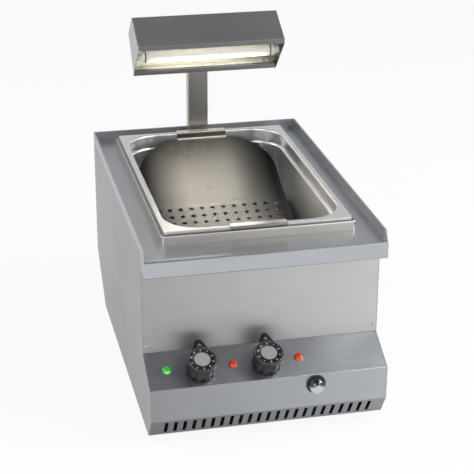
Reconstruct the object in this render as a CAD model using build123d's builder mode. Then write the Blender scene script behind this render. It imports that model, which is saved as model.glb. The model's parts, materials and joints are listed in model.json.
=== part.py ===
from build123d import *
from math import asin, atan2, cos, hypot, sin
import os

os.makedirs("parts", exist_ok=True)

# Casing, from the photographed proportions of a 400 by 600 mm counter unit
unit_width = 400.0
unit_depth = 600.0
casing_height = 310.0
foot_height = 10.0
sheet = 1.5
seam = 0.3
hole_play = 0.2
fold_radius = 1.5
apron_bend = 3.0
lip_height = 17.0
lip_setback = 12.0
hem_drop = 7.0
apron_height = 29.0
apron_return = 12.0
side_gap = 1.0
panel_gap = 2.0
panel_setback = 42.0
slope_top = 129.0
slope_bottom = 95.0
toe_reach = 24.0
toe_bottom = 37.0
skirt_recess = 24.0
rear_cut_run = 95.0
rear_cut_rise = 84.0
inner_tab = 14.0
upper_tab = 20.0

# Ventilation slots
slot_pitch = 15.67
slot_count = 23
slot_length = 33.0
slot_width = 6.0
slot_corner = 1.0
rear_slot_pitch = 14.0
rear_slot_count = 9
rear_slot_length = 40.0
rear_slot_width = 4.5
rear_slot_drop = 60.0

# Feet
foot_radius = 19.0
foot_inset = 48.0
foot_edge = 1.5
foot_screw_length = 8.0

# Raised collar, wet well and heater under the worktop
collar_side_margin = 37.0
collar_rear_margin = 42.0
collar_setback = 60.0
collar_height = 17.0
collar_flange = 10.0
collar_corner = 5.5
collar_edge = 2.5
well_joint_drop = 10.0
well_depth = 163.0
well_corner = 40.0
well_floor_radius = 14.0
heater_radius = 4.25
heater_pitch = 62.0
heater_margin = 94.0
heater_passes = 4
heater_lead = 60.0
heater_pin_radius = 2.0
heater_pin_length = 12.0
clamp_width = 18.0
clamp_thickness = 3.0
clamp_spread = 150.0
limit_radius = 9.0
limit_height = 7.0
limit_tab = 1.0

# Removable pan with a flat rim and a stacking shoulder
rim_margin = 5.0
rim_height = 5.0
rim_sheet = 1.2
rim_corner = 4.5
rim_flange = 10.0
rim_edge = 0.8
rim_roll = 3.0
pan_wall = 1.0
pan_depth = 150.0
pan_corner = 60.0
shoulder_depth = 26.0
shoulder_step = 4.0
pan_taper = 3.0
pan_floor_radius = 14.0

# Curved perforated scoop insert that hangs in the pan
scoop_side_gap = 16.0
scoop_sheet = 1.2
scoop_floor_drop = 117.0
scoop_top_drop = 12.3
scoop_flat_run = 170.0
scoop_wall_gap = 5.1
scoop_front_gap = 3.5
scoop_front_lean = 14.0
scoop_arch_width = 88.0
scoop_bow_radius = 60.0
scoop_arch_length = 66.0
drain_hole_pitch = 20.0
drain_hole_radius = 4.0
drain_hole_columns = 12
drain_hole_rows = 14
drain_hole_reach = 150.0
hook_width = 95.0
hook_sheet = 1.5
hook_drop = 4.0
hook_fold = 2.5
hook_bend = 4.0

# Controls on the slope
control_pitch = 55.5
shaft_radius = 3.0
shaft_flat = 2.4
shaft_fit = 0.05
shaft_seat = 6.0
knob_gap = 0.6
knob_drop = 6.0
knob_height = 31.0
knob_radius = 24.6
knob_base_radius = 25.2
knob_base_height = 3.0
knob_flute_radius = 3.5
knob_flutes = 12
knob_recess_radius = 8.0
knob_recess_depth = 5.0
dial_radius = 25.0
dial_thickness = 7.0
dial_edge = 1.2
nose_reach = 41.0
nose_radius = 7.5
knob_bore_depth = 17.0
cap_radius = 13.4
cap_recess = 1.0
cap_rise = 0.8
cap_edge = 0.5
bush_radius = 5.0
bush_rise = 4.0
switch_width = 36.0
switch_height = 30.0
switch_depth = 34.0
lens_radius = 7.8
lens_rim = 1.2
dome_radius = 6.8
dome_rise = 5.5
dome_edge = 3.5
lamp_stem_radius = 5.8
lamp_body_radius = 7.5
lamp_body_length = 26.0

# Drain
drain_inset = 123.0
drain_height = 77.0
drain_setback = 96.0
drain_pipe_radius = 9.0
drain_pipe_wall = 1.5
drain_bend = 20.0
drain_ring_radius = 16.4
drain_ring_thickness = 2.0
drain_cap_radius = 13.4
drain_cap_length = 14.0
drain_cap_bore = 9.0
drain_cap_edge = 9.0
drain_end_gap = 0.5

# Electrical parts on the floor and the rear panel
gland_reach = 14.0
gland_inset = 60.0
gland_height = 150.0
gland_radius = 9.0
gland_bore = 4.0
gland_nut_radius = 13.0
gland_nut_thickness = 6.0
gland_inside = 12.0
gland_dome_step = 2.0
gland_taper = 20.0
block_length = 60.0
block_width = 24.0
block_height = 22.0
block_setback = 215.0
block_ways = 5
block_hole_depth = 7.0
shield_setback = 62.0
shield_height = 100.0
shield_clearance = 1.0

# Gantry post
post_width = 38.6
post_depth = 20.0
post_wall = 1.5
post_corner = 1.4
post_inset = 29.0
post_drop = 28.0
groove_x = 12.0
groove_width = 1.2
groove_depth = 0.5
sleeve_height = 12.0
sleeve_wall = 1.5
sleeve_foot = 14.0
sleeve_foot_thickness = 2.0
bracket_width = 30.0
bracket_rise = 26.0

# Hood, a folded shell with its mouth towards the pan
hood_length = 270.0
hood_sheet = 1.2
ridge_lead = 68.0
ridge_height = 573.0
top_run = 67.0
top_fall = 37.0
lip_drop = 8.5
back_run = 46.0
back_fall = 41.0
under_run = 50.0
under_fall = 59.0
reflector_gap = 4.0
reflector_sheet = 0.8
tube_radius = 10.5
tube_inset = 14.0
holder_length = 15.8
holder_clip = 2.0
holder_clip_radius = 12.0
holder_radius = 8.0

# Fasteners
screw_radius = 1.9
screw_head_radius = 3.6
screw_head_height = 1.6
head_taper = 25.0
screw_length = 8.0
screw_inset = 5.5
back_screw_inset = 16.5
screw_rise = 14.0
bolt_radius = 2.5
bolt_head_radius = 4.5
bolt_head_height = 3.0
bolt_length = 12.0

# Worked-out places. X runs across the unit, Y back and Z up, and the origin is on the
# ground under the middle of the whole object.
front_reach = toe_reach + drain_ring_thickness + seam + drain_cap_length
apron_y = (front_reach - gland_reach - unit_depth) / 2
back_y = apron_y + unit_depth
mid_y = apron_y + unit_depth / 2
floor_z = foot_height
top_z = floor_z + casing_height
half = unit_width / 2
inner_half = half - sheet
panel_y = apron_y + panel_setback
toe_y = apron_y - toe_reach
skirt_y = toe_y + skirt_recess
slope_top_z = floor_z + slope_top
slope_bottom_z = floor_z + slope_bottom
toe_z = floor_z + toe_bottom
rear_cut_y = back_y - rear_cut_run
rear_cut_z = floor_z + rear_cut_rise

slope_angle = atan2(slope_top - slope_bottom, panel_setback + toe_reach)
slope_normal = (0, -sin(slope_angle), cos(slope_angle))
slope_face = Plane(
    origin=(0, (panel_y + toe_y) / 2, (slope_top_z + slope_bottom_z) / 2),
    x_dir=(1, 0, 0),
    z_dir=slope_normal,
)
skirt_angle = atan2(skirt_recess, toe_bottom)
skirt_face = Plane(
    origin=(0, (toe_y + skirt_y) / 2, (toe_z + floor_z) / 2),
    x_dir=(1, 0, 0),
    z_dir=(0, -cos(skirt_angle), -sin(skirt_angle)),
)
toe_face = Plane(origin=(0, toe_y, 0), x_dir=(1, 0, 0), z_dir=(0, -1, 0))
panel_face = Plane(origin=(0, panel_y, 0), x_dir=(1, 0, 0), z_dir=(0, -1, 0))
back_face = Plane(origin=(0, back_y, 0), x_dir=(-1, 0, 0), z_dir=(0, 1, 0))

through_cut = 3 * sheet
flat_cut = 3 * shaft_radius
collar_width = unit_width - 2 * collar_side_margin
collar_length = unit_depth - collar_setback - collar_rear_margin
collar_y = apron_y + collar_setback + collar_length / 2
collar_top = top_z + collar_height
well_width = collar_width - 2 * collar_flange
well_length = collar_length - 2 * collar_flange
well_top = top_z - well_joint_drop
well_floor = collar_top - well_depth
well_under = well_floor - sheet
pan_rim_width = collar_width - 2 * rim_margin
pan_rim_length = collar_length - 2 * rim_margin
pan_top = collar_top + rim_height
pan_width = pan_rim_width - 2 * rim_flange
pan_length = pan_rim_length - 2 * rim_flange
scoop_width = pan_width - 2 * scoop_side_gap
pan_front = collar_y - pan_length / 2
pan_back = collar_y + pan_length / 2

drain_x = half - drain_inset
gland_x = -half + gland_inset
post_y = back_y - post_inset
post_mid_y = post_y + post_depth / 2
ridge = (post_y - ridge_lead, floor_z + ridge_height)
post_top_z = ridge[1] - post_drop
tube_length = hood_length - 2 * (hood_sheet + holder_length)

knob_places = {"left": -2 * control_pitch, "right": 0.0}
lamp_places = {
    "green": -3 * control_pitch,
    "red_left": -control_pitch,
    "red_right": control_pitch,
}
foot_front_y = skirt_y + foot_inset
foot_rear_y = rear_cut_y - foot_inset
foot_places = {
    "front_left": (-half + foot_inset, foot_front_y),
    "front_right": (half - foot_inset, foot_front_y),
    "rear_left": (-half + foot_inset, foot_rear_y),
    "rear_right": (half - foot_inset, foot_rear_y),
}


def save(piece, name):
    piece.part.label = name
    export_step(piece.part, f"parts/{name}.step")


def at(plane, x, y, lift=0.0):
    """The same plane, moved to a place in it and off it by lift."""
    origin = plane.from_local_coords((x, y, lift))
    return Plane(origin=origin, x_dir=plane.x_dir, z_dir=plane.z_dir)


def inset(points, distance):
    """A folded line moved to its left by distance, with its corners mitred."""
    normals = []
    for (x0, y0), (x1, y1) in zip(points, points[1:]):
        run = hypot(x1 - x0, y1 - y0)
        normals.append(((y0 - y1) / run, (x1 - x0) / run))
    moved = []
    for index, (x, y) in enumerate(points):
        before = normals[max(index - 1, 0)]
        after = normals[min(index, len(normals) - 1)]
        scale = distance / (1 + before[0] * after[0] + before[1] * after[1])
        shift_x = scale * (before[0] + after[0])
        shift_y = scale * (before[1] + after[1])
        moved.append((x + shift_x, y + shift_y))
    return moved


def folded(points, thickness, length, fold=fold_radius):
    """A sheet folded along points in the YZ plane, thickened to the left, length wide."""
    inside = inset(points, thickness)
    with BuildPart() as strip:
        with BuildSketch(Plane.YZ):
            with BuildLine():
                FilletPolyline(*points, radius=fold)
                FilletPolyline(*inside, radius=fold)
                Line(points[0], inside[0])
                Line(points[-1], inside[-1])
            make_face()
        extrude(amount=length / 2, both=True)
    return strip.part


def basin(width, length, corner, top, depth, mouth, step, taper, floor_radius):
    """The shape of a pan, solid: an upright mouth, a step in and a tapered body."""
    with BuildPart() as form:
        with BuildSketch(Plane.XY.offset(top - mouth)):
            with Locations((0, collar_y)):
                RectangleRounded(width - 2 * step, length - 2 * step, corner - step)
        extrude(amount=-(depth - mouth), taper=taper)
        fillet(form.faces().sort_by(Axis.Z)[0].edges(), radius=floor_radius)
        with BuildSketch(Plane.XY.offset(top)):
            with Locations((0, collar_y)):
                RectangleRounded(width, length, corner)
        extrude(amount=-mouth)
    return form.part


def screw_group(places, head_radius, head_height, shank_radius, length):
    """Round-headed screws, one on each plane, with their shanks going in."""
    with BuildPart() as screws:
        for place in places:
            with BuildSketch(place):
                Circle(head_radius)
            extrude(amount=head_height, taper=head_taper)
            with BuildSketch(place):
                Circle(shank_radius)
            extrude(amount=-length)
    return screws


# Worktop: deck and apron in one fold, raised lips on three sides, a cut-out for the well
apron_points = [
    (back_y, top_z),
    (apron_y, top_z),
    (apron_y, top_z - apron_height),
    (apron_y + apron_return, top_z - apron_height),
]
with BuildPart() as worktop:
    with BuildSketch(Plane.YZ):
        with BuildLine():
            inside_points = inset(apron_points, sheet)
            FilletPolyline(*apron_points, radius=apron_bend)
            FilletPolyline(*inside_points, radius=fold_radius)
            Line(apron_points[0], inside_points[0])
            Line(apron_points[-1], inside_points[-1])
        make_face()
    extrude(amount=half, both=True)
    for side in (-1, 1):
        with Locations((side * (half - sheet / 2), apron_y + sheet, top_z - sheet)):
            Box(
                sheet,
                panel_setback - sheet - side_gap,
                apron_height - sheet,
                align=(Align.CENTER, Align.MIN, Align.MAX),
            )
        with BuildSketch(Plane.YZ.offset(side * half)):
            with BuildLine():
                Polyline(
                    (apron_y + apron_bend, top_z - sheet),
                    (apron_y + apron_bend, top_z),
                    (apron_y + lip_setback, top_z + lip_height),
                    (back_y, top_z + lip_height),
                    (back_y, top_z - sheet),
                    close=True,
                )
            make_face()
        extrude(amount=-side * sheet)
        with Locations(
            (side * (inner_half - sheet / 2), apron_y + lip_setback, top_z + lip_height)
        ):
            Box(
                sheet,
                unit_depth - lip_setback,
                hem_drop,
                align=(Align.CENTER, Align.MIN, Align.MAX),
            )
    with Locations((0, back_y, top_z)):
        Box(unit_width, sheet, lip_height, align=(Align.CENTER, Align.MAX, Align.MIN))
    with Locations((0, back_y - sheet, top_z + lip_height)):
        Box(unit_width, sheet, hem_drop, align=(Align.CENTER, Align.MAX, Align.MAX))
    with BuildSketch(Plane.XY.offset(top_z)):
        with Locations((0, collar_y)):
            RectangleRounded(
                well_width + 2 * (sheet + seam),
                well_length + 2 * (sheet + seam),
                well_corner + sheet + seam,
            )
        sleeve_bolt_x = post_width / 2 + seam + sleeve_wall + sleeve_foot / 2
        with Locations((-sleeve_bolt_x, post_mid_y), (sleeve_bolt_x, post_mid_y)):
            Circle(bolt_radius + hole_play)
    extrude(amount=-sheet, mode=Mode.SUBTRACT)
save(worktop, "worktop")

# Side panels, stepped at the front for the controls and cut back at the rear
for side, side_name in ((-1, "left"), (1, "right")):
    with BuildPart() as side_panel:
        with BuildSketch(Plane.YZ.offset(side * half)):
            with BuildLine():
                Polyline(
                    (panel_y, top_z - sheet),
                    (panel_y, slope_top_z),
                    (toe_y, slope_bottom_z),
                    (toe_y, toe_z),
                    (skirt_y, floor_z),
                    (rear_cut_y, floor_z),
                    (back_y, rear_cut_z),
                    (back_y, top_z - sheet),
                    close=True,
                )
            make_face()
        extrude(amount=-side * sheet)
    save(side_panel, f"side_panel_{side_name}")

# Front panel, set back behind the apron, with a flange folded in down each side
panel_screws = [
    at(panel_face, side * (inner_half - screw_inset), slope_top_z + screw_rise)
    for side in (-1, 1)
]
with BuildPart() as front_panel:
    panel_foot = slope_top_z + panel_gap
    panel_head = top_z - sheet
    with Locations((0, panel_y, panel_foot)):
        Box(
            2 * inner_half,
            sheet,
            panel_head - panel_foot,
            align=(Align.CENTER, Align.MIN, Align.MIN),
        )
    for side in (-1, 1):
        with Locations((side * (inner_half - sheet / 2), panel_y + sheet, panel_head)):
            Box(
                sheet,
                inner_tab,
                panel_head - panel_foot - 2 * upper_tab,
                align=(Align.CENTER, Align.MIN, Align.MAX),
            )
    for place in panel_screws:
        with BuildSketch(place):
            Circle(screw_radius + hole_play)
        extrude(amount=-sheet, mode=Mode.SUBTRACT)
save(front_panel, "front_panel")
save(
    screw_group(panel_screws, screw_head_radius, screw_head_height, screw_radius, screw_length),
    "front_panel_screws",
)

# Control panel: flange, slope, upright toe and slotted skirt, folded from one sheet
control_points = [
    (panel_y + sheet, slope_top_z + upper_tab),
    (panel_y + sheet, slope_top_z + sheet * sin(slope_angle) / cos(slope_angle)),
    (toe_y, slope_bottom_z),
    (toe_y, toe_z),
    (skirt_y, floor_z + sheet),
    (skirt_y + inner_tab, floor_z + sheet),
]
control_sheet = folded(control_points, sheet, 2 * inner_half)
with BuildPart() as control_panel:
    add(control_sheet)
    with BuildSketch(slope_face):
        with Locations(*[(x, -knob_drop) for x in knob_places.values()]):
            Circle(bush_radius + hole_play)
        with Locations(*[(x, 0) for x in lamp_places.values()]):
            Circle(lamp_stem_radius + hole_play)
    extrude(amount=through_cut, both=True, mode=Mode.SUBTRACT)
    with BuildSketch(toe_face):
        with Locations((drain_x, floor_z + drain_height)):
            Circle(drain_pipe_radius + seam)
    extrude(amount=-through_cut, mode=Mode.SUBTRACT)
    with BuildSketch(skirt_face):
        with GridLocations(slot_pitch, 1, slot_count, 1):
            RectangleRounded(slot_width, slot_length, slot_corner)
    extrude(amount=through_cut, both=True, mode=Mode.SUBTRACT)
    for place in panel_screws:
        with BuildSketch(place):
            Circle(screw_radius + hole_play)
        extrude(amount=-through_cut, mode=Mode.SUBTRACT)
save(control_panel, "control_panel")

# Base plate with a raised rear slope, and the back panel above it
base_points = [
    (skirt_y, floor_z),
    (rear_cut_y, floor_z),
    (back_y - sheet, rear_cut_z),
    (back_y - sheet, rear_cut_z + upper_tab),
]
base_sheet = folded(base_points, sheet, 2 * inner_half)
back_low_screws = [
    at(back_face, side * (inner_half - back_screw_inset), rear_cut_z + upper_tab / 2)
    for side in (-1, 1)
]
back_high_screws = [
    at(back_face, side * (inner_half - back_screw_inset), top_z - upper_tab / 2 - sheet)
    for side in (-1, 1)
]
with BuildPart() as base_plate:
    add(base_sheet)
    with BuildSketch(Plane.XY.offset(floor_z)):
        with Locations(*foot_places.values()):
            Circle(bolt_radius + hole_play)
        with Locations((0, mid_y)):
            with GridLocations(rear_slot_pitch, 1, rear_slot_count, 1):
                SlotOverall(rear_slot_length, rear_slot_width, rotation=90)
    extrude(amount=sheet, mode=Mode.SUBTRACT)
    for place in back_low_screws:
        with BuildSketch(place):
            Circle(screw_radius + hole_play)
        extrude(amount=-through_cut, mode=Mode.SUBTRACT)
save(base_plate, "base_plate")

with BuildPart() as back_panel:
    with Locations((0, back_y, rear_cut_z)):
        Box(
            2 * inner_half,
            sheet,
            top_z - sheet - rear_cut_z,
            align=(Align.CENTER, Align.MAX, Align.MIN),
        )
    with BuildSketch(back_face):
        with Locations((-gland_x, floor_z + gland_height)):
            Circle(gland_radius + hole_play)
        with Locations((0, top_z - rear_slot_drop)):
            with GridLocations(rear_slot_pitch, 1, rear_slot_count, 1):
                SlotOverall(rear_slot_length, rear_slot_width, rotation=90)
    extrude(amount=-sheet, mode=Mode.SUBTRACT)
    for place in back_low_screws + back_high_screws:
        with BuildSketch(place):
            Circle(screw_radius + hole_play)
        extrude(amount=-sheet, mode=Mode.SUBTRACT)
save(back_panel, "back_panel")
save(
    screw_group(
        back_low_screws + back_high_screws,
        screw_head_radius,
        screw_head_height,
        screw_radius,
        screw_length,
    ),
    "back_panel_screws",
)

# Feet and the screws that hold them from inside the base
for foot_name, (foot_x, foot_y) in foot_places.items():
    with BuildPart() as foot:
        with BuildSketch(Plane.XY):
            with Locations((foot_x, foot_y)):
                Circle(foot_radius)
        extrude(amount=foot_height)
        fillet(foot.edges().group_by(Axis.Z)[0], radius=foot_edge)
        with BuildSketch(Plane.XY.offset(foot_height)):
            with Locations((foot_x, foot_y)):
                Circle(bolt_radius + hole_play)
        extrude(amount=-foot_screw_length, mode=Mode.SUBTRACT)
    save(foot, f"foot_{foot_name}")

foot_screw_planes = [
    Plane(origin=(x, y, floor_z + sheet), z_dir=(0, 0, 1)) for x, y in foot_places.values()
]
save(
    screw_group(
        foot_screw_planes, bolt_head_radius, bolt_head_height, bolt_radius, foot_screw_length
    ),
    "foot_screws",
)

# Raised collar around the well: outer wall, rounded top and an inner wall down to the well
with BuildPart() as well_collar:
    with BuildSketch(Plane.XY.offset(top_z)):
        with Locations((0, collar_y)):
            RectangleRounded(collar_width, collar_length, collar_corner)
    extrude(amount=collar_height)
    fillet(well_collar.faces().sort_by(Axis.Z)[-1].edges(), radius=collar_edge)
    with BuildSketch(Plane.XY.offset(top_z)):
        with Locations((0, collar_y)):
            RectangleRounded(
                collar_width - 2 * sheet, collar_length - 2 * sheet, collar_corner - sheet
            )
    extrude(amount=collar_height - collar_edge, mode=Mode.SUBTRACT)
    with BuildSketch(Plane.XY.offset(top_z)):
        with Locations((0, collar_y)):
            RectangleRounded(
                collar_width - 2 * collar_edge,
                collar_length - 2 * collar_edge,
                collar_corner - collar_edge,
            )
    extrude(amount=collar_height - sheet, mode=Mode.SUBTRACT)
    with BuildSketch(Plane.XY.offset(well_top)):
        with Locations((0, collar_y)):
            RectangleRounded(
                well_width + 2 * sheet, well_length + 2 * sheet, well_corner + sheet
            )
    extrude(amount=collar_top - sheet - well_top)
    with BuildSketch(Plane.XY.offset(well_top)):
        with Locations((0, collar_y)):
            RectangleRounded(well_width, well_length, well_corner)
    extrude(amount=collar_top - well_top, mode=Mode.SUBTRACT)
save(well_collar, "well_collar")

# Well tank, drained through its floor near the front
tank_outside = basin(
    well_width + 2 * sheet,
    well_length + 2 * sheet,
    well_corner + sheet,
    well_top,
    well_top - well_under,
    well_joint_drop,
    0.0,
    0.0,
    well_floor_radius + sheet,
)
tank_inside = basin(
    well_width,
    well_length,
    well_corner,
    well_top,
    well_top - well_floor,
    well_joint_drop,
    0.0,
    0.0,
    well_floor_radius,
)
drain_y = apron_y + drain_setback
with BuildPart() as well_tank:
    add(tank_outside)
    add(tank_inside, mode=Mode.SUBTRACT)
    with BuildSketch(Plane.XY.offset(well_floor)):
        with Locations((drain_x, drain_y)):
            Circle(drain_pipe_radius - drain_pipe_wall)
    extrude(amount=-sheet, mode=Mode.SUBTRACT)
save(well_tank, "well_tank")

# Heating element: a bent tube under the well, held up by two clamps
heater_z = well_under - seam - heater_radius
heater_back = collar_y + well_length / 2 - heater_margin
heater_front = collar_y - well_length / 2 + heater_margin
heater_xs = [(i - (heater_passes - 1) / 2) * heater_pitch for i in range(heater_passes)]
with BuildPart() as heating_element:
    with BuildLine() as heater_path:
        Line(
            (heater_xs[0], heater_front - heater_lead, heater_z),
            (heater_xs[0], heater_front, heater_z),
        )
        for index, pass_x in enumerate(heater_xs):
            Line((pass_x, heater_front, heater_z), (pass_x, heater_back, heater_z))
            if index < heater_passes - 1:
                turn_y = heater_back if index % 2 == 0 else heater_front
                bulge = heater_pitch / 2 if index % 2 == 0 else -heater_pitch / 2
                ThreePointArc(
                    (pass_x, turn_y, heater_z),
                    (pass_x + heater_pitch / 2, turn_y + bulge, heater_z),
                    (pass_x + heater_pitch, turn_y, heater_z),
                )
        Line(
            (heater_xs[-1], heater_front, heater_z),
            (heater_xs[-1], heater_front - heater_lead, heater_z),
        )
    lead_end = heater_front - heater_lead
    with BuildSketch(Plane(origin=(heater_xs[0], lead_end, heater_z), z_dir=(0, 1, 0))):
        Circle(heater_radius)
    sweep(path=heater_path.wire())
    for pin_x in (heater_xs[0], heater_xs[-1]):
        with BuildSketch(Plane(origin=(pin_x, lead_end, heater_z), z_dir=(0, -1, 0))):
            Circle(heater_pin_radius)
        extrude(amount=heater_pin_length)
save(heating_element, "heating_element")

clamp_top = heater_z - heater_radius - seam
clamp_reach = heater_xs[-1] + heater_radius + seam + clamp_thickness
with BuildPart() as element_clamps:
    for clamp_y in (collar_y - clamp_spread / 2, collar_y + clamp_spread / 2):
        with Locations((0, clamp_y, clamp_top)):
            Box(
                2 * clamp_reach,
                clamp_width,
                clamp_thickness,
                align=(Align.CENTER, Align.CENTER, Align.MAX),
            )
        for side in (-1, 1):
            with Locations((side * (clamp_reach - clamp_thickness / 2), clamp_y, clamp_top)):
                Box(
                    clamp_thickness,
                    clamp_width,
                    well_under - clamp_top,
                    align=(Align.CENTER, Align.CENTER, Align.MIN),
                )
save(element_clamps, "element_clamps")

with BuildPart() as limit_thermostat:
    with BuildSketch(Plane.XY.offset(well_under)):
        with Locations((0, collar_y)):
            Circle(limit_radius)
    extrude(amount=-limit_height)
    with BuildSketch(Plane.XY.offset(well_under - limit_height)):
        with Locations((0, collar_y)):
            with GridLocations(limit_radius, 1, 2, 1):
                Rectangle(limit_tab, limit_height)
    extrude(amount=-limit_height)
save(limit_thermostat, "limit_thermostat")

# Pan: flat rim with a hem, rounded mouth, stacking shoulder and tapered walls
pan_outside = basin(
    pan_width + 2 * pan_wall,
    pan_length + 2 * pan_wall,
    pan_corner + pan_wall,
    pan_top,
    pan_depth,
    shoulder_depth + pan_wall,
    shoulder_step,
    pan_taper,
    pan_floor_radius + pan_wall,
)
pan_inside = basin(
    pan_width,
    pan_length,
    pan_corner,
    pan_top,
    pan_depth - pan_wall,
    shoulder_depth,
    shoulder_step,
    pan_taper,
    pan_floor_radius,
)
with BuildPart() as gn_pan:
    with BuildSketch(Plane.XY.offset(pan_top)):
        with Locations((0, collar_y)):
            RectangleRounded(pan_rim_width, pan_rim_length, rim_corner)
    extrude(amount=-rim_height)
    fillet(gn_pan.faces().sort_by(Axis.Z)[-1].edges(), radius=rim_edge)
    with BuildSketch(Plane.XY.offset(pan_top - rim_height)):
        with Locations((0, collar_y)):
            RectangleRounded(
                pan_rim_width - 2 * rim_sheet,
                pan_rim_length - 2 * rim_sheet,
                rim_corner - rim_sheet,
            )
    extrude(amount=rim_height - rim_sheet, mode=Mode.SUBTRACT)
    add(pan_outside)
    add(pan_inside, mode=Mode.SUBTRACT)
    flange_z = pan_top - rim_sheet
    under_rim = gn_pan.faces().filter_by(Axis.Z).filter_by_position(Axis.Z, flange_z, flange_z)
    fillet(under_rim.sort_by(SortBy.AREA)[-1].inner_wires()[0].edges(), rim_roll - pan_wall)
    fillet(gn_pan.faces().sort_by(Axis.Z)[-1].inner_wires()[0].edges(), rim_roll)
save(gn_pan, "gn_pan")

# Scoop insert: leaning front, flat floor, and a curve that climbs to the back rim
scoop_floor = pan_top - scoop_floor_drop
scoop_edge = pan_top - scoop_top_drop
scoop_front = pan_front + scoop_front_gap
scoop_flat_end = pan_front + scoop_flat_run
scoop_back = pan_back - scoop_wall_gap
scoop_run = scoop_back - scoop_flat_end
scoop_rise = scoop_edge - scoop_floor
scoop_radius = (scoop_run**2 + scoop_rise**2) / (2 * scoop_rise)
scoop_sweep = asin(scoop_run / scoop_radius)


def scoop_arc(radius):
    """End, middle and start of the rising curve at a radius about its own centre."""
    centre_z = scoop_floor + scoop_radius
    return [
        (scoop_flat_end + radius * sin(angle), centre_z - radius * cos(angle))
        for angle in (scoop_sweep, scoop_sweep / 2, 0.0)
    ]


front_foot = scoop_front + scoop_front_lean
front_points = [(front_foot, scoop_floor), (scoop_front, scoop_edge)]
front_outer = [
    (front_foot - scoop_sheet, scoop_floor - scoop_sheet),
    (scoop_front - scoop_sheet, scoop_edge),
]
under_scoop = scoop_floor - 2 * scoop_sheet
with BuildPart() as scoop_insert:
    with BuildSketch(Plane.YZ):
        with BuildLine():
            upper = scoop_arc(scoop_radius)
            lower = scoop_arc(scoop_radius + scoop_sheet)
            ThreePointArc(*upper)
            ThreePointArc(*lower)
            Line(upper[0], lower[0])
            Polyline(upper[2], *front_points, front_outer[1], front_outer[0], lower[2])
        make_face()
    extrude(amount=scoop_width / 2, both=True)
    with BuildSketch(Plane.XY.offset(under_scoop)):
        with BuildLine():
            arch_y = scoop_back - scoop_arch_length
            arch_x = scoop_width / 2 - scoop_arch_width
            arch_end = scoop_back + scoop_sheet
            front_end = scoop_front - scoop_sheet
            arch_depth = scoop_arch_length + scoop_sheet
            bow_y = front_end + scoop_bow_radius
            bow_x = scoop_width / 2 - scoop_bow_radius
            Line((-bow_x, front_end), (bow_x, front_end))
            CenterArc((bow_x, bow_y), scoop_bow_radius, -90, 90)
            Line((scoop_width / 2, bow_y), (scoop_width / 2, arch_y))
            EllipticalCenterArc((arch_x, arch_y), scoop_arch_width, arch_depth, 0, arc_size=90)
            Line((arch_x, arch_end), (-arch_x, arch_end))
            EllipticalCenterArc((-arch_x, arch_y), scoop_arch_width, arch_depth, 90, arc_size=90)
            Line((-scoop_width / 2, arch_y), (-scoop_width / 2, bow_y))
            CenterArc((-bow_x, bow_y), scoop_bow_radius, 180, 90)
        make_face()
    extrude(amount=scoop_floor_drop, mode=Mode.INTERSECT)
    last_row = scoop_back - drain_hole_reach
    first_row = last_row - (drain_hole_rows - 1) * drain_hole_pitch
    with BuildSketch(Plane.XY.offset(under_scoop)):
        with Locations((0, (first_row + last_row) / 2)):
            with GridLocations(
                drain_hole_pitch, drain_hole_pitch, drain_hole_columns, drain_hole_rows
            ):
                Circle(drain_hole_radius)
    extrude(amount=scoop_rise / 2, mode=Mode.SUBTRACT)
save(scoop_insert, "scoop_insert")

# Hooks that carry the insert on the pan's rim, front and back
hook_top = pan_top + hook_sheet
hook_tip = pan_top - hook_drop
hook_back_end = collar_y + pan_rim_length / 2 + hook_sheet + hook_fold
hook_front_end = collar_y - pan_rim_length / 2 - hook_sheet - hook_fold
hook_face_y = scoop_back + hook_bend * cos(scoop_sweep)
hook_bend_z = scoop_edge + hook_bend * sin(scoop_sweep)
hooks = {
    "back": [
        (hook_back_end, hook_tip),
        (hook_back_end, hook_top),
        (hook_face_y, hook_top),
        (hook_face_y, hook_bend_z),
        (scoop_back, scoop_edge),
    ],
    "front": [
        (scoop_front, scoop_edge),
        (scoop_front, hook_top),
        (hook_front_end, hook_top),
        (hook_front_end, hook_tip),
    ],
}
for hook_name, hook_points in hooks.items():
    hook_sheet_part = folded(hook_points, hook_sheet, hook_width, hook_fold)
    with BuildPart() as hook:
        add(hook_sheet_part)
    save(hook, f"scoop_hook_{hook_name}")

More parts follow.
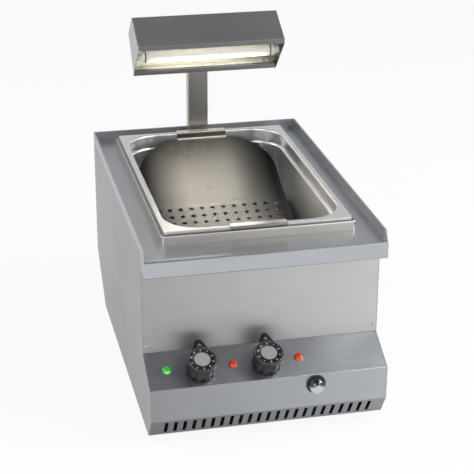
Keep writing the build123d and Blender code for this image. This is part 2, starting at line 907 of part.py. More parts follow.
# Knobs, with the shafts that turn in the thermostat and the power regulator
for knob_name, knob_x in knob_places.items():
    place = at(slope_face, knob_x, -knob_drop)
    with BuildPart() as knob:
        with BuildSketch(place.offset(knob_gap)):
            Circle(knob_radius)
        extrude(amount=knob_height - knob_gap - dial_thickness)
        with BuildSketch(place.offset(knob_gap)):
            with PolarLocations(knob_radius + knob_flute_radius / 2, knob_flutes):
                Circle(knob_flute_radius)
        extrude(amount=knob_height - knob_gap - dial_thickness, mode=Mode.SUBTRACT)
        with BuildSketch(place.offset(knob_gap)):
            Circle(knob_base_radius)
        extrude(amount=knob_base_height)
        with BuildSketch(place.offset(knob_height - dial_thickness)):
            Circle(dial_radius)
            with Locations((0, nose_reach - nose_radius)):
                Circle(nose_radius)
            make_hull()
        extrude(amount=dial_thickness)
        top_rim = knob.faces().filter_by(
            lambda face: abs(face.normal_at().dot(place.z_dir) - 1) < 0.001
        )
        fillet(top_rim.sort_by(SortBy.AREA)[-1].edges(), radius=dial_edge)
        with BuildSketch(place.offset(knob_height)):
            Circle(cap_radius)
        extrude(amount=-cap_recess, mode=Mode.SUBTRACT)
        with BuildSketch(place.offset(knob_gap)):
            Circle(knob_recess_radius)
        extrude(amount=knob_recess_depth, mode=Mode.SUBTRACT)
        with BuildSketch(place.offset(knob_gap)):
            Circle(shaft_radius + shaft_fit)
            with Locations((0, shaft_flat + shaft_fit)):
                Rectangle(
                    flat_cut,
                    shaft_radius,
                    align=(Align.CENTER, Align.MIN),
                    mode=Mode.SUBTRACT,
                )
        extrude(amount=knob_bore_depth, mode=Mode.SUBTRACT)
    save(knob, f"knob_{knob_name}")

    with BuildPart() as knob_cap:
        with BuildSketch(place.offset(knob_height - cap_recess)):
            Circle(cap_radius - seam / 2)
        extrude(amount=cap_recess + cap_rise)
        fillet(knob_cap.edges().filter_by(GeomType.CIRCLE).sort_by(Axis.Z)[-1], radius=cap_edge)
    save(knob_cap, f"knob_cap_{knob_name}")

    shaft_foot = -sheet - shaft_seat + seam
    bush_top = bush_rise + knob_gap
    with BuildPart() as shaft:
        with BuildSketch(place.offset(shaft_foot)):
            Circle(shaft_radius)
        extrude(amount=bush_top - shaft_foot)
        with BuildSketch(place.offset(bush_top)):
            Circle(shaft_radius)
            with Locations((0, shaft_flat)):
                Rectangle(
                    flat_cut,
                    shaft_radius,
                    align=(Align.CENTER, Align.MIN),
                    mode=Mode.SUBTRACT,
                )
        extrude(amount=knob_gap + knob_bore_depth - seam - bush_top)
    save(shaft, f"shaft_{knob_name}")

    switch_name = {"left": "thermostat", "right": "power_regulator"}[knob_name]
    with BuildPart() as switch:
        with BuildSketch(place.offset(-sheet)):
            Rectangle(switch_width, switch_height)
        extrude(amount=-switch_depth)
        with BuildSketch(place.offset(-sheet)):
            Circle(bush_radius)
        extrude(amount=sheet + bush_rise)
        with BuildSketch(place.offset(bush_rise)):
            Circle(shaft_radius + shaft_fit)
        extrude(amount=-(bush_rise + sheet + shaft_seat), mode=Mode.SUBTRACT)
    save(switch, switch_name)

# Indicator lamps: a domed lens through the slope and a lamp body behind it
for lamp_name, lamp_x in lamp_places.items():
    place = at(slope_face, lamp_x, 0)
    with BuildPart() as lens:
        with BuildSketch(place):
            Circle(dome_radius)
        extrude(amount=dome_rise)
        dome_top = lens.edges().filter_by(GeomType.CIRCLE).sort_by(Axis.Z)[-1]
        fillet(dome_top, radius=dome_edge)
        with BuildSketch(place):
            Circle(lens_radius)
        extrude(amount=lens_rim)
        with BuildSketch(place):
            Circle(lamp_stem_radius)
        extrude(amount=-sheet)
    save(lens, f"lens_{lamp_name}")
    with BuildPart() as lamp_body:
        with BuildSketch(place.offset(-sheet)):
            Circle(lamp_body_radius)
        extrude(amount=-lamp_body_length)
    save(lamp_body, f"lamp_body_{lamp_name}")

# Drain: a bent pipe from the well floor to the front, its ring and its cap
drain_z = floor_z + drain_height
pipe_front = toe_y - drain_ring_thickness - seam - drain_cap_bore + drain_end_gap
with BuildPart() as drain_pipe:
    with BuildLine() as drain_path:
        FilletPolyline(
            (drain_x, drain_y, well_under),
            (drain_x, drain_y, drain_z),
            (drain_x, pipe_front, drain_z),
            radius=drain_bend,
        )
    with BuildSketch(Plane(origin=(drain_x, drain_y, well_under), z_dir=(0, 0, -1))):
        Circle(drain_pipe_radius)
        Circle(drain_pipe_radius - drain_pipe_wall, mode=Mode.SUBTRACT)
    sweep(path=drain_path.wire())
save(drain_pipe, "drain_pipe")

drain_place = at(toe_face, drain_x, drain_z)
with BuildPart() as drain_ring:
    with BuildSketch(drain_place):
        Circle(drain_ring_radius)
        Circle(drain_pipe_radius + hole_play, mode=Mode.SUBTRACT)
    extrude(amount=drain_ring_thickness)
save(drain_ring, "drain_ring")

with BuildPart() as drain_cap:
    with BuildSketch(drain_place.offset(drain_ring_thickness + seam)):
        Circle(drain_cap_radius)
    extrude(amount=drain_cap_length)
    fillet(
        drain_cap.edges().filter_by(GeomType.CIRCLE).sort_by(Axis.Y)[0], radius=drain_cap_edge
    )
    with BuildSketch(drain_place.offset(drain_ring_thickness + seam)):
        Circle(drain_pipe_radius + seam)
    extrude(amount=drain_cap_bore, mode=Mode.SUBTRACT)
save(drain_cap, "drain_cap")

# Heat shield between the well and the controls
with BuildPart() as heat_shield:
    with Locations((0, apron_y + shield_setback, floor_z + sheet)):
        Box(
            2 * inner_half - 2 * side_gap,
            sheet,
            shield_height,
            align=(Align.CENTER, Align.MIN, Align.MIN),
        )
        Box(
            2 * inner_half - 2 * side_gap,
            inner_tab,
            sheet,
            align=(Align.CENTER, Align.MIN, Align.MIN),
        )
    with BuildSketch(Plane.XZ.offset(-(apron_y + shield_setback))):
        with Locations((drain_x, drain_z)):
            Circle(drain_pipe_radius + shield_clearance)
    extrude(amount=-through_cut, mode=Mode.SUBTRACT)
save(heat_shield, "heat_shield")

# Terminal block on the base, and the cable gland in the back panel
with BuildPart() as terminal_block:
    block_y = back_y - block_setback
    with Locations((gland_x, block_y, floor_z + sheet)):
        Box(
            block_width,
            block_length,
            block_height,
            align=(Align.CENTER, Align.CENTER, Align.MIN),
        )
    with BuildSketch(Plane.XY.offset(floor_z + sheet + block_height)):
        with Locations((gland_x, block_y)):
            with GridLocations(block_width / 2, block_length / block_ways, 2, block_ways):
                Circle(screw_head_radius)
    extrude(amount=-block_hole_depth, mode=Mode.SUBTRACT)
save(terminal_block, "terminal_block")

gland_place = at(back_face, -gland_x, floor_z + gland_height)
with BuildPart() as cable_gland:
    with BuildSketch(gland_place):
        RegularPolygon(gland_nut_radius, 6)
    extrude(amount=gland_nut_thickness)
    with BuildSketch(gland_place.offset(gland_nut_thickness)):
        Circle(gland_nut_radius - gland_dome_step)
    extrude(amount=gland_reach - gland_nut_thickness, taper=gland_taper)
    with BuildSketch(gland_place):
        Circle(gland_radius)
    extrude(amount=-gland_inside)
    with BuildSketch(gland_place.offset(-gland_inside)):
        Circle(gland_bore)
    extrude(amount=gland_inside + gland_reach, mode=Mode.SUBTRACT)
save(cable_gland, "cable_gland")

with BuildPart() as gland_locknut:
    with BuildSketch(gland_place.offset(-sheet)):
        RegularPolygon(gland_nut_radius, 6)
        Circle(gland_radius + hole_play / 2, mode=Mode.SUBTRACT)
    extrude(amount=-gland_nut_thickness)
save(gland_locknut, "gland_locknut")

# Gantry post: a rectangular tube standing in a sleeve that is bolted to the deck
with BuildPart() as post:
    with BuildSketch(Plane.XY.offset(top_z)):
        with Locations((0, post_mid_y)):
            RectangleRounded(post_width, post_depth, post_corner)
        with Locations((groove_x, post_y)):
            Rectangle(groove_width, 2 * groove_depth, mode=Mode.SUBTRACT)
    extrude(amount=post_top_z - top_z)
    with BuildSketch(Plane.XY.offset(top_z)):
        with Locations((0, post_mid_y)):
            Rectangle(post_width - 2 * post_wall, post_depth - 2 * post_wall)
    extrude(amount=post_top_z - post_wall - top_z, mode=Mode.SUBTRACT)
save(post, "post")

with BuildPart() as post_sleeve:
    with BuildSketch(Plane.XY.offset(top_z)):
        with Locations((0, post_mid_y)):
            RectangleRounded(
                post_width + 2 * (seam + sleeve_wall),
                post_depth + 2 * (seam + sleeve_wall),
                post_corner,
            )
    extrude(amount=sleeve_height)
    with Locations((0, post_mid_y, top_z)):
        Box(
            post_width + 2 * (seam + sleeve_wall + sleeve_foot),
            post_depth,
            sleeve_foot_thickness,
            align=(Align.CENTER, Align.CENTER, Align.MIN),
        )
    with BuildSketch(Plane.XY.offset(top_z)):
        with Locations((0, post_mid_y)):
            Rectangle(post_width + 2 * seam, post_depth + 2 * seam)
        with Locations((-sleeve_bolt_x, post_mid_y), (sleeve_bolt_x, post_mid_y)):
            Circle(bolt_radius + hole_play)
    extrude(amount=sleeve_height, mode=Mode.SUBTRACT)
save(post_sleeve, "post_sleeve")

post_bolt_planes = [
    Plane(origin=(x, post_mid_y, top_z + sleeve_foot_thickness), z_dir=(0, 0, 1))
    for x in (-sleeve_bolt_x, sleeve_bolt_x)
]
save(
    screw_group(post_bolt_planes, bolt_head_radius, bolt_head_height, bolt_radius, bolt_length),
    "post_bolts",
)

# Hood shell, closed by an end plate each side and lined with a reflector
front_bend = (ridge[0] - top_run, ridge[1] - top_fall)
front_lip = (front_bend[0], front_bend[1] - lip_drop)
back_bend = (ridge[0] + back_run, ridge[1] - back_fall)
under_bend = (back_bend[0] - under_run, back_bend[1] - under_fall)
under_lip = (under_bend[0], under_bend[1] - lip_drop)
hood_points = [under_lip, under_bend, back_bend, ridge, front_bend, front_lip]
hood_sheet_part = folded(hood_points, hood_sheet, hood_length - 2 * hood_sheet)
with BuildPart() as hood_shell:
    add(hood_sheet_part)
save(hood_shell, "hood_shell")

for side, side_name in ((-1, "left"), (1, "right")):
    with BuildPart() as hood_end:
        with BuildSketch(Plane.YZ.offset(side * hood_length / 2)):
            with BuildLine():
                Polyline(*hood_points, close=True)
            make_face()
        extrude(amount=-side * hood_sheet)
    save(hood_end, f"hood_end_{side_name}")

liner_points = inset(hood_points[1:5], hood_sheet + reflector_gap)
liner_sheet = folded(liner_points, reflector_sheet, hood_length - 2 * hood_sheet - 2 * seam)
with BuildPart() as reflector:
    add(liner_sheet)
save(reflector, "reflector")

# Infrared tube along the hood, between its two end holders
mouth = ((front_lip[0] + under_lip[0]) / 2, (front_lip[1] + under_lip[1]) / 2)
crown = ((ridge[0] + back_bend[0]) / 2, (ridge[1] + back_bend[1]) / 2)
hood_depth = hypot(crown[0] - mouth[0], crown[1] - mouth[1])
tube_y = mouth[0] + (crown[0] - mouth[0]) * tube_inset / hood_depth
tube_z = mouth[1] + (crown[1] - mouth[1]) * tube_inset / hood_depth
with BuildPart() as infrared_tube:
    with BuildSketch(Plane.YZ.offset(-tube_length / 2)):
        with Locations((tube_y, tube_z)):
            Circle(tube_radius)
    extrude(amount=tube_length)
save(infrared_tube, "infrared_tube")

for side, side_name in ((-1, "left"), (1, "right")):
    with BuildPart() as holder:
        with BuildSketch(Plane.YZ.offset(side * tube_length / 2)):
            with Locations((tube_y, tube_z)):
                Circle(holder_clip_radius)
        extrude(amount=side * holder_clip)
        with BuildSketch(Plane.YZ.offset(side * tube_length / 2)):
            with Locations((tube_y, tube_z)):
                Circle(holder_radius)
        extrude(amount=side * holder_length)
    save(holder, f"tube_holder_{side_name}")

# Bracket that ties the back of the hood to the post
bracket_foot = (
    back_bend[0] - under_run * bracket_rise / under_fall,
    back_bend[1] - bracket_rise,
)
with BuildPart() as hood_bracket:
    with BuildSketch(Plane.YZ):
        with BuildLine():
            Polyline(
                bracket_foot,
                (back_bend[0], back_bend[1]),
                (post_y, back_bend[1]),
                (post_y, bracket_foot[1]),
                close=True,
            )
        make_face()
    extrude(amount=bracket_width / 2, both=True)
save(hood_bracket, "hood_bracket")
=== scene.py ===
import json
from math import acos, atan2, cos, pi, sin, sqrt

import bmesh
import bpy
from mathutils import Matrix, Vector

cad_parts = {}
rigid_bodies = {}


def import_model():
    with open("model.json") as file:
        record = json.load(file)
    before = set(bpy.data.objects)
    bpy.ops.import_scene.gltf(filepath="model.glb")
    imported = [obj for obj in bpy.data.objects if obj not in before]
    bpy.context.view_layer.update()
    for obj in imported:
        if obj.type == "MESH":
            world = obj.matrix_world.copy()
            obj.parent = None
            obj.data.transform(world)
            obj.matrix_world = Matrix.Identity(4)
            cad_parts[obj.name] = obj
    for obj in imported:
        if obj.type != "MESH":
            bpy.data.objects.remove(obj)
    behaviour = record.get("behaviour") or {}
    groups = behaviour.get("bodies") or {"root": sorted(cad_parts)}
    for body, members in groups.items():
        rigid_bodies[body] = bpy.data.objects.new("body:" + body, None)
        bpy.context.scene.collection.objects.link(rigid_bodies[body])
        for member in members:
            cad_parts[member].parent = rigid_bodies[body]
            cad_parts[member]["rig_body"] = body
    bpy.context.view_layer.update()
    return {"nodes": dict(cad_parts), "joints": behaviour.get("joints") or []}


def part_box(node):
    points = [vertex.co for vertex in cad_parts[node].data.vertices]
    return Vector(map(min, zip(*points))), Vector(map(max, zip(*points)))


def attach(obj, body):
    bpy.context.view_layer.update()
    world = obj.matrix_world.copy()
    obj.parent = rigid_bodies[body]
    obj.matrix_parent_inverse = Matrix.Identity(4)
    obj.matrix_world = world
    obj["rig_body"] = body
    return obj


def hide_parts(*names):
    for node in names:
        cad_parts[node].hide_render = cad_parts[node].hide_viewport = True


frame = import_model()
nodes = frame["nodes"]
joints = {joint["name"]: joint for joint in frame["joints"]}
MM = 0.001

# Places on the casing, from the frame
APRON_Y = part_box("worktop")[0].y
KNOBS = {
    "left": Vector(joints["thermostat_turn"]["pos_m"]),
    "right": Vector(joints["regulator_turn"]["pos_m"]),
}
SLOPE_NORMAL = Vector(joints["thermostat_turn"]["axis"])
SLOPE_UP = Vector((0, SLOPE_NORMAL.z, -SLOPE_NORMAL.y))
ACROSS = Vector((1, 0, 0))
FORWARD = Vector((0, -1, 0))
UPWARD = Vector((0, 0, 1))


def middle(node):
    low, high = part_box(node)
    return (low + high) / 2


# Shader helpers

def tree_of(name):
    material = bpy.data.materials.new(name)
    material.use_nodes = True
    tree = material.node_tree
    tree.nodes.clear()
    out = tree.nodes.new("ShaderNodeOutputMaterial")
    shader = tree.nodes.new("ShaderNodeBsdfPrincipled")
    tree.links.new(shader.outputs[0], out.inputs["Surface"])
    return material, tree, shader


def coords(tree, stretch=(1, 1, 1)):
    """Object coordinates, scaled per axis."""
    texture = tree.nodes.new("ShaderNodeTexCoord")
    mapping = tree.nodes.new("ShaderNodeMapping")
    mapping.inputs["Scale"].default_value = stretch
    tree.links.new(texture.outputs["Object"], mapping.inputs["Vector"])
    return mapping.outputs["Vector"]


def noise(tree, vector, scale, detail=3.0, rough=0.5):
    node = tree.nodes.new("ShaderNodeTexNoise")
    node.inputs["Scale"].default_value = scale
    node.inputs["Detail"].default_value = detail
    node.inputs["Roughness"].default_value = rough
    tree.links.new(vector, node.inputs["Vector"])
    return node.outputs["Fac"]


def span(tree, value, low, high, from_low=0.3, from_high=0.7):
    node = tree.nodes.new("ShaderNodeMapRange")
    node.inputs["From Min"].default_value = from_low
    node.inputs["From Max"].default_value = from_high
    node.inputs["To Min"].default_value = low
    node.inputs["To Max"].default_value = high
    tree.links.new(value, node.inputs["Value"])
    return node.outputs["Result"]


def blend_colour(tree, factor, one, two, how="MIX"):
    node = tree.nodes.new("ShaderNodeMix")
    node.data_type = "RGBA"
    node.blend_type = how
    for socket, colour in ((node.inputs["A"], one), (node.inputs["B"], two)):
        if isinstance(colour, tuple):
            socket.default_value = (*colour, 1)
        else:
            tree.links.new(colour, socket)
    if isinstance(factor, float):
        node.inputs["Factor"].default_value = factor
    else:
        tree.links.new(factor, node.inputs["Factor"])
    return node.outputs["Result"]


def maths(tree, operation, *values):
    node = tree.nodes.new("ShaderNodeMath")
    node.operation = operation
    for socket, value in zip(node.inputs, values):
        if isinstance(value, (int, float)):
            socket.default_value = value
        else:
            tree.links.new(value, socket)
    return node.outputs[0]


def split(tree, vector):
    node = tree.nodes.new("ShaderNodeSeparateXYZ")
    tree.links.new(vector, node.inputs[0])
    return node.outputs


def bump(tree, shader, height, distance):
    node = tree.nodes.new("ShaderNodeBump")
    node.inputs["Distance"].default_value = distance
    tree.links.new(height, node.inputs["Height"])
    tree.links.new(node.outputs[0], shader.inputs["Normal"])


MIRRORED_X = 3
FACE_EDGE = 0.08
BROAD_SCALE = 60.0
CLOUD_SCALE = 7.0
FINE_SHARE = 0.4
BROAD_SHARE = 0.3
CLOUD_SHARE = 0.3


def steel(name, tone, rough, grain, tint=(1.0, 1.0, 1.0), fineness=900.0, depth=0.00001,
          brushed=0.0, tangent="Z", mottle=0.04, spread=0.04, faces=(), fades=()):
    """Stainless sheet, brushed along the axis that grain leaves short.

    faces lists (axis, sign, limit, share): sides of the sheet that point that way have
    the tone times share, painted light where share is over one and painted shade where it
    is under, by the way each side faces. fades lists (axis, near, far, share): along that
    axis the tone falls from near to that share at far, painted shade by place on the
    piece, and MIRRORED_X counts from the middle to both sides."""
    material, tree, shader = tree_of(name)
    shader.inputs["Metallic"].default_value = 1.0
    fine = noise(tree, coords(tree, grain), fineness, 4.0, 0.6)
    broad = noise(tree, coords(tree, tuple(0.5 + g / 2 for g in grain)), BROAD_SCALE, 3.0, 0.5)
    cloud = noise(tree, coords(tree), CLOUD_SCALE, 3.0, 0.5)
    fine_part = maths(tree, "MULTIPLY", fine, FINE_SHARE)
    broad_part = maths(tree, "MULTIPLY", broad, BROAD_SHARE)
    pair = maths(tree, "ADD", fine_part, broad_part)
    mixed = maths(tree, "ADD", pair, maths(tree, "MULTIPLY", cloud, CLOUD_SHARE))
    light = tuple(min(1.0, tone * (1 + mottle) * t) for t in tint)
    dark = tuple(tone * (1 - mottle) * t for t in tint)
    colour = blend_colour(tree, span(tree, mixed, 0, 1, 0.4, 0.6), dark, light)
    # Painted light and shade: each side's tone is multiplied by its share, by the way the side
    # faces
    for axis, sign, limit, share in faces:
        geometry = tree.nodes.new("ShaderNodeNewGeometry")
        leaning = split(tree, geometry.outputs["True Normal"])[axis]
        if sign == 0:
            leaning = maths(tree, "SUBTRACT", 1.0, maths(tree, "ABSOLUTE", leaning))
        else:
            leaning = maths(tree, "MULTIPLY", leaning, sign)
        inside = span(tree, leaning, 0, 1, limit - FACE_EDGE, limit + FACE_EDGE)
        colour = blend_colour(tree, inside, colour, (share, share, share), "MULTIPLY")
    # Painted shade: the tone falls along the piece by place
    for axis, near, far, share in fades:
        place = split(tree, coords(tree))
        reach = maths(tree, "ABSOLUTE", place[0]) if axis == MIRRORED_X else place[axis]
        level = span(tree, reach, 1.0, share, near, far)
        grey = tree.nodes.new("ShaderNodeCombineColor")
        for socket in grey.inputs[:3]:
            tree.links.new(level, socket)
        colour = blend_colour(tree, 1.0, colour, grey.outputs[0], "MULTIPLY")
    tree.links.new(colour, shader.inputs["Base Color"])
    wear = span(tree, cloud, -0.02, 0.03)
    roughness = maths(tree, "ADD", span(tree, fine, rough - spread, rough + spread), wear)
    tree.links.new(roughness, shader.inputs["Roughness"])
    bump(tree, shader, fine, depth)
    if brushed:
        shader.inputs["Anisotropic"].default_value = brushed
        node = tree.nodes.new("ShaderNodeTangent")
        node.direction_type = "RADIAL"
        node.axis = tangent
        tree.links.new(node.outputs[0], shader.inputs["Tangent"])
    return material


SPECK = 0.05
SPECK_SCALE = 60.0
PLASTIC_COAT_ROUGHNESS = 0.12


def moulded(name, colour, rough=0.4, depth=0.00001, scale=1500.0, coat=0.0, glow=0.0):
    """Plastic, rubber or ceramic with a fine grain; glow is for a tube that is switched on."""
    material, tree, shader = tree_of(name)
    grain = noise(tree, coords(tree), scale, 3.0)
    cloud = noise(tree, coords(tree), SPECK_SCALE, 2.0)
    low = tuple(c * (1 - SPECK) for c in colour)
    high = tuple(min(1.0, c * (1 + SPECK) + 0.003) for c in colour)
    shade = blend_colour(tree, span(tree, cloud, 0, 1), low, high)
    tree.links.new(shade, shader.inputs["Base Color"])
    tree.links.new(span(tree, grain, rough - 0.05, rough + 0.06), shader.inputs["Roughness"])
    shader.inputs["Coat Weight"].default_value = coat
    shader.inputs["Coat Roughness"].default_value = PLASTIC_COAT_ROUGHNESS
    if glow:
        tree.links.new(shade, shader.inputs["Emission Color"])
        shader.inputs["Emission Strength"].default_value = glow
    bump(tree, shader, grain, depth)
    return material


def jewel(name, deep, bright, pale, glow):
    """A lit faceted lens: deep colour at its rim and brighter in the middle by how squarely it
    faces the view, painted shade and light, and paler at its low side, a painted highlight.
    """
    material, tree, shader = tree_of(name)
    weight = tree.nodes.new("ShaderNodeLayerWeight")
    weight.inputs["Blend"].default_value = 0.4
    speck = noise(tree, coords(tree), 380.0, 2.0)
    rim = maths(tree, "ADD", weight.outputs["Facing"], span(tree, speck, -0.25, 0.25))
    body = blend_colour(tree, rim, bright, deep)
    # Painted highlight: facets facing forward and down are paler
    geometry = tree.nodes.new("ShaderNodeNewGeometry")
    lean = split(tree, geometry.outputs["True Normal"])[1]
    colour = blend_colour(tree, span(tree, lean, 0.8, 0.0, -0.95, -0.70), body, pale)
    tree.links.new(colour, shader.inputs["Base Color"])
    tree.links.new(colour, shader.inputs["Emission Color"])
    shader.inputs["Emission Strength"].default_value = glow
    shader.inputs["Roughness"].default_value = 0.2
    shader.inputs["Coat Weight"].default_value = 0.35
    shader.inputs["Coat Roughness"].default_value = 0.06
    bump(tree, shader, speck, 0.00004)
    return material


# Grain directions, tints, and the sides and stretches of a sheet given another tone: painted light
# and shade by the way a side faces and by place on the piece
LONG_X = (0.012, 1, 1)
LONG_Y = (1, 0.012, 1)
LONG_Z = (1, 1, 0.012)
EVEN = (1, 1, 1)
WARM = (1.04, 1.0, 0.93)
COOL = (0.96, 0.99, 1.04)
# Painted light and shade by the way a side faces: the control panel's upward slope painted lighter
# and its downward skirt painted with shade; the worktop's upright faces painted lighter; the hood's
# upright lip, the hook's upright face and the inner sides of the hood's ends painted with shade;
# the pan's upward faces, its rim among them, painted darker than its walls, whose high tone is
# painted light; the collar's top painted with shadow; the chrome cap's upper side painted dark as a
# reflection
SLOPE_PAINTED_LIGHTER = (2, 1, 0.5, 1.40)
SKIRT_PAINTED_SHADE = (2, -1, 0.3, 0.62)
UPRIGHT_PAINTED_LIGHTER = (2, 0, 0.6, 1.22)
HOOD_LIP_PAINTED_SHADE = (2, 0, 0.6, 0.45)
HOOK_FACE_PAINTED_SHADE = (2, 0, 0.6, 0.5)
LEFT_END_INSIDE_PAINTED_SHADE = (0, 1, 0.5, 0.6)
RIGHT_END_INSIDE_PAINTED_SHADE = (0, -1, 0.5, 0.10)
PAN_FLAT_PAINTED_DARKER = (2, 1, 0.8, 0.66)
SHADED_TOP = (2, 1, 0.8, 0.22)
UPPER_SIDE_PAINTED_DARK = (2, 1, 0.10, 0.22)
# Painted shade by place: the front panel and the control panel darker towards the left; the scoop
# darker towards both sides, towards its top and towards its front
LEFT_PAINTED_SHADE = [(0, 0.19, -0.19, 0.70)]
SCOOP_PAINTED_SHADE = [
    (MIRRORED_X, 0.045, 0.120, 0.08), (2, 0.250, 0.325, 0.22), (1, 0.0, -0.09, 0.15),
]
MATERIALS = {
    "front": steel("casing front steel", 0.575, 0.42, LONG_X, brushed=0.6, fades=LEFT_PAINTED_SHADE),
    # The side panels, base, back and heat shield are the front's steel at a lower tone: painted
    # shade
    "side": steel("casing side steel", 0.38, 0.40, LONG_Y, brushed=0.4, tangent="X"),
    "top": steel("worktop steel", 0.40, 0.38, LONG_X, COOL, faces=[UPRIGHT_PAINTED_LIGHTER]),
    "slope": steel("control panel steel", 0.46, 0.34, LONG_X, COOL, faces=[SLOPE_PAINTED_LIGHTER, SKIRT_PAINTED_SHADE],
                   fades=LEFT_PAINTED_SHADE),
    "pan": steel("pan steel", 0.95, 0.30, LONG_Z, fineness=900.0, depth=0.000003, spread=0.03,
                 faces=[PAN_FLAT_PAINTED_DARKER]),
    "collar": steel("collar steel", 0.78, 0.34, LONG_X, WARM, 700.0, 0.000004, spread=0.03,
                    faces=[SHADED_TOP]),
    "scoop": steel("scoop steel", 0.66, 0.28, LONG_X, WARM, 2600.0, 0.000001, mottle=0.008,
                   spread=0.005, fades=SCOOP_PAINTED_SHADE),
    "hook": steel("hook steel", 0.62, 0.24, LONG_X, WARM, 1400.0, faces=[HOOK_FACE_PAINTED_SHADE]),
    "hood": steel("hood steel", 0.44, 0.32, LONG_X, fineness=1400.0, depth=0.000005, mottle=0.02,
                  faces=[HOOD_LIP_PAINTED_SHADE]),
    "hood_left": steel("hood left end steel", 0.52, 0.34, LONG_Y, faces=[LEFT_END_INSIDE_PAINTED_SHADE]),
    "hood_right": steel("hood right end steel", 0.52, 0.34, LONG_Y, faces=[RIGHT_END_INSIDE_PAINTED_SHADE]),
    "post": steel("post steel", 0.50, 0.30, LONG_Z, WARM, mottle=0.03),
    "mirror": steel("reflector sheet", 0.96, 0.26, LONG_X, WARM, 300.0, 0.00002),
    "screw": steel("screw steel", 0.62, 0.26, EVEN, fineness=1500.0),
    "heater": steel("heater sheath", 0.30, 0.45, EVEN, (1.05, 0.97, 0.9), 700.0, 0.00002),
    "chrome": steel("cap chrome", 0.60, 0.12, EVEN, COOL, 400.0, 0.000003, spread=0.02,
                    faces=[UPPER_SIDE_PAINTED_DARK]),
    "disc": moulded("dial disc", (0.30, 0.30, 0.31), 0.32, scale=1800.0, coat=0.4),
    "black": moulded("knob plastic", (0.006, 0.006, 0.007), 0.40),
    "mark": moulded("dial marking", (0.62, 0.62, 0.61), 0.5),
    "switch": moulded("switch body plastic", (0.72, 0.70, 0.62), 0.5),
    "dark": moulded("lamp body plastic", (0.04, 0.04, 0.045), 0.45),
    "rubber": moulded("foot rubber", (0.025, 0.025, 0.025), 0.75, scale=900.0, depth=0.00004),
    "ceramic": moulded("white ceramic", (0.84, 0.82, 0.77), 0.55, scale=1100.0, depth=0.00003),
    "quartz": moulded("frosted quartz", (0.60, 0.59, 0.55), 0.28, coat=0.3, scale=700.0, glow=0.20),
    "nylon": moulded("gland nylon", (0.02, 0.02, 0.02), 0.5),
    "green": jewel("green lens", (0.01, 0.20, 0.01), (0.03, 0.40, 0.03), (0.50, 0.78, 0.36), 0.28),
    "red": jewel("red lens", (0.20, 0.008, 0.003), (0.52, 0.035, 0.006), (0.66, 0.10, 0.04), 0.22),
}


# Mesh helpers

def object_from(name, bm, material, smooth=True, crease=0.6):
    mesh = bpy.data.meshes.new(name)
    bm.to_mesh(mesh)
    bm.free()
    for polygon in mesh.polygons:
        polygon.use_smooth = smooth
    if smooth:
        mesh.set_sharp_from_angle(angle=crease)
    item = bpy.data.objects.new(name, mesh)
    bpy.context.scene.collection.objects.link(item)
    mesh.materials.append(MATERIALS[material])
    return item


def stands_for(item, node):
    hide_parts(node)
    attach(item, nodes[node]["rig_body"])
    return item


WELD = 0.000002
FLAT_ENOUGH = 0.006
EASED_ABOVE = 0.5
NORMAL_WEIGHT = 80


def dressed(node, material, bevel=0.0003, segments=2):
    """The node's own shape with its edges eased, standing for the node."""
    bm = bmesh.new()
    bm.from_mesh(nodes[node].data)
    bmesh.ops.remove_doubles(bm, verts=bm.verts, dist=WELD)
    bmesh.ops.dissolve_limit(
        bm, angle_limit=FLAT_ENOUGH, verts=bm.verts, edges=bm.edges, use_dissolve_boundaries=False
    )
    item = object_from(node + "_finish", bm, material, crease=pi)
    if bevel:
        modifier = item.modifiers.new("eased", "BEVEL")
        modifier.width = bevel
        modifier.segments = segments
        modifier.limit_method = "ANGLE"
        modifier.angle_limit = EASED_ABOVE
        modifier.use_clamp_overlap = True
    weighted = item.modifiers.new("normals", "WEIGHTED_NORMAL")
    weighted.keep_sharp = False
    weighted.weight = NORMAL_WEIGHT
    return stands_for(item, node)


def painted(material, *names):
    for name in names:
        item = nodes[name]
        item.data.materials.clear()
        item.data.materials.append(MATERIALS[material])


def placed(origin, up, normal):
    """A matrix whose Z is normal and whose Y is up."""
    z = Vector(normal).normalized()
    y = Vector(up).normalized()
    matrix = Matrix((y.cross(z), y, z)).transposed().to_4x4()
    matrix.translation = origin
    return matrix


def skin(name, rings, material, smooth=True, twist=False, crease=0.6):
    """A closed skin through rings of points, capped at both ends; twist sets facets askew."""
    bm = bmesh.new()
    rows = [[bm.verts.new(p) for p in ring] for ring in rings]
    count = len(rows[0])
    for one, two in zip(rows, rows[1:]):
        for i in range(count):
            j = (i + 1) % count
            if twist:
                bm.faces.new((one[i], one[j], two[i]))
                bm.faces.new((one[j], two[j], two[i]))
            else:
                bm.faces.new((one[i], one[j], two[j], two[i]))
    bm.faces.new(list(reversed(rows[0])))
    bm.faces.new(rows[-1])
    bmesh.ops.recalc_face_normals(bm, faces=bm.faces)
    return object_from(name, bm, material, smooth, crease)


def turned(name, profile, place, material, steps=64):
    """A turned piece: profile is (radius, height) pairs in millimetres about place's own Z."""
    rings = []
    for radius, height in profile:
        ring = []
        for step in range(steps):
            angle = 2 * pi * step / steps
            ring.append(place @ (Vector((radius * cos(angle), radius * sin(angle), height)) * MM))
        rings.append(ring)
    return skin(name, rings, material)


def slab(bm, place, centre, size):
    """A small box in place's own millimetres, added to bm."""
    made = bmesh.ops.create_cube(bm, size=1.0)
    scale = Matrix.Diagonal((*(Vector(size) * MM), 1.0))
    shift = Matrix.Translation(Vector(centre) * MM)
    bmesh.ops.transform(bm, matrix=place @ shift @ scale, verts=made["verts"])


